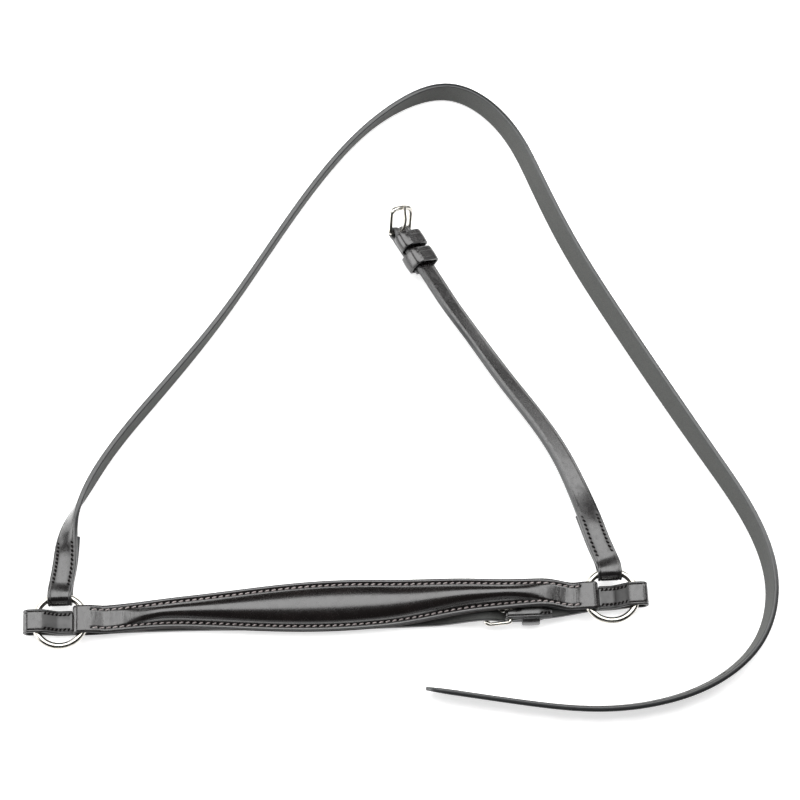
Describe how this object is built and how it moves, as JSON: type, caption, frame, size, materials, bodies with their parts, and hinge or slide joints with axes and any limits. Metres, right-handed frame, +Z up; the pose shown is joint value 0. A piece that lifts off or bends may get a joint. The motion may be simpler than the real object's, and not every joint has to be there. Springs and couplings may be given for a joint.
{
  "type": "drop noseband",
  "caption": "Horse's leather drop noseband: padded nosepiece between two rings, a buckled chin strap, a long holed head strap and a short cheek strap with its buckle and keepers.",
  "frame": {"origin": "centre of the overall box, at the table it lies on", "axes": "+X along the nosepiece from the off-side ring to the near-side ring, +Y away from the nosepiece towards the straps, +Z up off the table"},
  "size_m": [0.412, 0.381, 0.022],
  "materials": {
    "black_leather": "glossy black bridle leather with dyed edges",
    "face_leather": "glossy near-black havana leather",
    "lining_leather": "matte dark lining leather",
    "felt": "soft felt padding",
    "steel": "polished steel"
  },
  "bodies": {
    "nosepiece": {"nosepiece_face": "face_leather", "nosepiece_padding": "felt", "nosepiece_lining": "lining_leather", "chin_strap": "black_leather", "chin_buckle_strap": "black_leather", "chin_fixed_keeper": "black_leather", "chin_buckle_frame": "steel", "chin_buckle_tongue": "steel"},
    "off_ring": {"off_ring": "steel"},
    "head_strap": {"head_strap": "black_leather"},
    "near_ring": {"near_ring": "steel"},
    "cheek_strap": {"cheek_strap": "black_leather", "cheek_fixed_keeper": "black_leather"},
    "cheek_runner": {"cheek_runner_keeper": "black_leather"},
    "cheek_buckle": {"cheek_buckle_frame": "steel"},
    "cheek_tongue": {"cheek_buckle_tongue": "steel"}
  },
  "joints": [
    {"name": "off_ring_turn", "type": "hinge", "parent": "nosepiece", "child": "off_ring", "pos_m": [-0.18576, -0.1257, 0.0074], "axis": [0, 0, 1], "range_deg": [-6, 6]},
    {"name": "near_ring_turn", "type": "hinge", "parent": "nosepiece", "child": "near_ring", "pos_m": [0.11424, -0.1257, 0.0104], "axis": [0, 0, 1], "range_deg": [-6, 6]},
    {"name": "head_strap_swing", "type": "hinge", "parent": "off_ring", "child": "head_strap", "pos_m": [-0.18576, -0.11249, 0.0074], "axis": [1, 0, 0], "range_deg": [-50, 100]},
    {"name": "cheek_strap_swing", "type": "hinge", "parent": "near_ring", "child": "cheek_strap", "pos_m": [0.11424, -0.11249, 0.0104], "axis": [1, 0, 0], "range_deg": [-50, 100]},
    {"name": "runner_slide", "type": "slide", "parent": "cheek_strap", "child": "cheek_runner", "axis": [0.4695, -0.8829, 0], "range_m": [0, 0.012]},
    {"name": "buckle_swing", "type": "hinge", "parent": "cheek_strap", "child": "cheek_buckle", "pos_m": [0.00909, 0.0977, 0.00845], "axis": [-0.6958, -0.3699, 0.6157], "range_deg": [-5, 50]},
    {"name": "tongue_swing", "type": "hinge", "parent": "cheek_buckle", "child": "cheek_tongue", "pos_m": [0.00909, 0.0977, 0.00845], "axis": [0.6958, 0.3699, -0.6157], "range_deg": [0, 25]}
  ]
}
